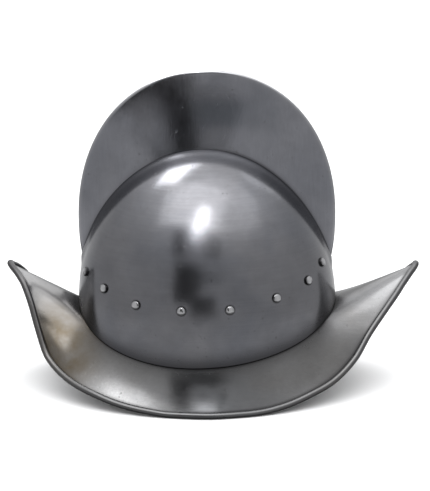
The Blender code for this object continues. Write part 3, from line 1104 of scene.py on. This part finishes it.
skull = piece("skull_sheet", cut_away(skull_shell(), comb_slot()), ["skull"], skull_steel)
mark_skull(skull)
comb = piece("comb_sheet", cut_away(comb_body(), comb_hollow()), ["comb"], comb_steel)
mark_comb(comb)
rings = brim_rings()
brim = piece("brim_sheet", brim_sheet(rings), ["brim"], brim_steel)
mark_brim(brim, rings)
heads = []
for number, node_name in enumerate(RIVETS, start=1):
    place = rivet_place(node_name)
    shape = rivet_shape(number)
    shape.transform(place)
    head = piece(f"{node_name}_head", shape, [node_name], rivet_steel)
    mark_rivet(head, place)
    heads.append(head)


# Stage

def direction(azimuth, elevation):
    """Unit vector away from the helmet: azimuth 0 towards the camera, growing to the right, in degrees."""
    across, up = math.radians(azimuth), math.radians(elevation)
    return Vector((math.sin(across) * math.cos(up), -math.cos(across) * math.cos(up), math.sin(up)))


def aimed(item, place, target):
    item.location = place
    item.rotation_mode = "QUATERNION"
    item.rotation_quaternion = (Vector(target) - Vector(place)).to_track_quat("-Z", "Y")


def soft_light(name, shape, azimuth, elevation, distance, width, depth, radiance, lean, lights):
    """A softbox that faces the helmet, given by how bright its face looks and what it shines on."""
    data = bpy.data.lights.new(name, "AREA")
    data.shape = shape
    data.size = width
    data.size_y = depth
    data.energy = radiance * math.pi * width * depth
    item = bpy.data.objects.new(name, data)
    bpy.context.scene.collection.objects.link(item)
    item.visible_camera = False
    aimed(item, LIT_POINT + direction(azimuth, elevation) * distance, LIT_POINT)
    item.rotation_quaternion = item.rotation_quaternion @ Quaternion((0, 0, 1), math.radians(-lean))
    if lights:
        shone_on = bpy.data.collections.new(f"{name}_shines_on")
        for part in lights:
            shone_on.objects.link(part)
        item.light_linking.receiver_collection = shone_on


def dark_card(name, azimuth, elevation, distance, width, height, shade):
    """A dark card that shows only in the polished steel, like a figure behind the camera."""
    mesh = bpy.data.meshes.new(name)
    x, y = width / 2, height / 2
    mesh.from_pydata([(-x, -y, 0), (x, -y, 0), (x, y, 0), (-x, y, 0)], [], [(0, 1, 2, 3)])
    mesh.materials.append(plain(f"{name}_paint", (shade, shade, shade), PAINT_ROUGHNESS))
    item = bpy.data.objects.new(name, mesh)
    bpy.context.scene.collection.objects.link(item)
    aimed(item, LIT_POINT + direction(azimuth, elevation) * distance, LIT_POINT)
    item.visible_camera = False
    item.visible_diffuse = False
    item.visible_shadow = False


def make_floor():
    mesh = bpy.data.meshes.new("floor")
    corners = [(x * FLOOR_REACH, y * FLOOR_REACH, 0) for x, y in ((-1, -1), (1, -1), (1, 1), (-1, 1))]
    mesh.from_pydata(corners, [], [(0, 1, 2, 3)])
    mesh.materials.append(plain("floor_paint", FLOOR_COLOUR, PAINT_ROUGHNESS))
    item = bpy.data.objects.new("floor", mesh)
    bpy.context.scene.collection.objects.link(item)
    item.visible_glossy = False


def make_world():
    """An even studio whose walls are dim and whose ceiling is bright."""
    world = bpy.data.worlds.new("studio")
    world.use_nodes = True
    tree = world.node_tree
    background = tree.nodes["Background"]
    background.inputs["Strength"].default_value = CEILING_RADIANCE
    upward = tree.nodes.new("ShaderNodeSeparateXYZ")
    ramp = tree.nodes.new("ShaderNodeValToRGB")
    elements = ramp.color_ramp.elements
    while len(elements) < len(STUDIO_WALLS):
        elements.new(0.5)
    for element, (elevation, share) in zip(elements, STUDIO_WALLS):
        element.position = (math.sin(math.radians(elevation)) + 1) / 2
        element.color = (*(share * tint for tint in STUDIO_TINT), 1.0)
    tree.links.new(tree.nodes.new("ShaderNodeTexCoord").outputs["Generated"], upward.inputs["Vector"])
    halved = tree.nodes.new("ShaderNodeMath")
    halved.operation = "MULTIPLY_ADD"
    halved.inputs[1].default_value = 0.5
    halved.inputs[2].default_value = 0.5
    tree.links.new(upward.outputs["Z"], halved.inputs[0])
    tree.links.new(halved.outputs["Value"], ramp.inputs["Fac"])
    tree.links.new(ramp.outputs["Color"], background.inputs["Color"])
    bpy.context.scene.world = world
    bpy.context.scene.view_settings.view_transform = "Standard"


def make_camera():
    forward = Vector((0, math.cos(TILT), -math.sin(TILT)))
    upward = Vector((0, math.sin(TILT), math.cos(TILT)))
    eye = PLACE - forward * CAMERA_DISTANCE
    right_by = (IMAGE_WIDTH / 2 - MIDDLE_PIXEL[0]) * SIZE_OF_PIXEL
    up_by = (MIDDLE_PIXEL[1] - IMAGE_HEIGHT / 2) * SIZE_OF_PIXEL
    data = bpy.data.cameras.new("camera")
    data.sensor_fit = "AUTO"
    data.sensor_width = SENSOR * 1000
    data.lens = SENSOR * 1000 * CAMERA_DISTANCE / (IMAGE_HEIGHT * SIZE_OF_PIXEL)
    item = bpy.data.objects.new("camera", data)
    bpy.context.scene.collection.objects.link(item)
    aimed(item, eye, PLACE + Vector((right_by, 0, 0)) + upward * up_by)
    bpy.context.scene.camera = item


LIT_POINT = PLACE + Vector((0, 0, 0.06))
FLOOR_REACH = 8.0
FLOOR_COLOUR = (0.88, 0.88, 0.88)
PAINT_ROUGHNESS = 0.9
CEILING_RADIANCE = 2.4
STUDIO_TINT = (0.985, 0.99, 1.0)

# How bright the studio is all round. Columns: elevation in degrees, share of the ceiling's radiance
STUDIO_WALLS = (
    (-90, 0.10),
    (-42, 0.11),
    (-34, 0.15),
    (-25, 0.40),
    (-18, 0.42),
    (-12, 0.32),
    (20, 0.36),
    (30, 0.44),
    (40, 0.57),
    (50, 0.68),
    (62, 0.82),
    (90, 0.92),
)

# Softboxes. Columns: name, shape, azimuth and elevation in degrees, distance, width, depth, radiance,
# lean, what it shines on
SOFTBOXES = (
    ("key_light", "RECTANGLE", -130, 67, 1.5, 0.85, 0.54, 9.0, 0, "upper"),
    ("streak_light", "ELLIPSE", -3.5, 45, 1.6, 0.13, 0.74, 14.0, 14, "upper"),
    ("front_light", "RECTANGLE", -18, 61, 1.7, 1.45, 1.15, 1.4, 0, "all"),
    ("fill_light", "ELLIPSE", 20, 62, 1.7, 2.4, 1.6, 0.45, 0, "all"),
    ("back_right_light", "RECTANGLE", 140, 45, 1.8, 1.2, 0.9, 1.1, 0, "all"),
    ("back_left_light", "RECTANGLE", -145, 45, 1.8, 1.2, 0.9, 0.6, 0, "all"),
    ("brim_light", "ELLIPSE", -38, 36, 1.5, 0.62, 0.50, 1.6, 0, "brim"),
)

# Dark cards by the camera. Columns: name, azimuth, elevation, distance, width, height, shade
CARDS = (
    ("card_figure", -14.3, 3.9, 0.413, 0.090, 0.165, 0.05),
    ("card_foot", -2.2, -9.1, 0.405, 0.084, 0.080, 0.06),
    ("card_core", -7.3, 0.0, 0.400, 0.016, 0.220, 0.01),
    ("card_comb", -7.0, 9.2, 1.30, 0.19, 0.32, 0.005),
    ("card_bar", 2.5, 10, 1.32, 0.24, 0.13, 0.30),
    ("prong_left", -18.0, 30, 1.35, 0.25, 0.38, 0.03),
    ("prong_right", 4.5, 28.5, 1.35, 0.20, 0.28, 0.16),
)

make_floor()
make_world()
make_camera()
lit = {"all": None, "upper": [skull, comb, *heads], "brim": [brim]}
for *softbox, shines_on in SOFTBOXES:
    soft_light(*softbox, lit[shines_on])
for card in CARDS:
    dark_card(*card)
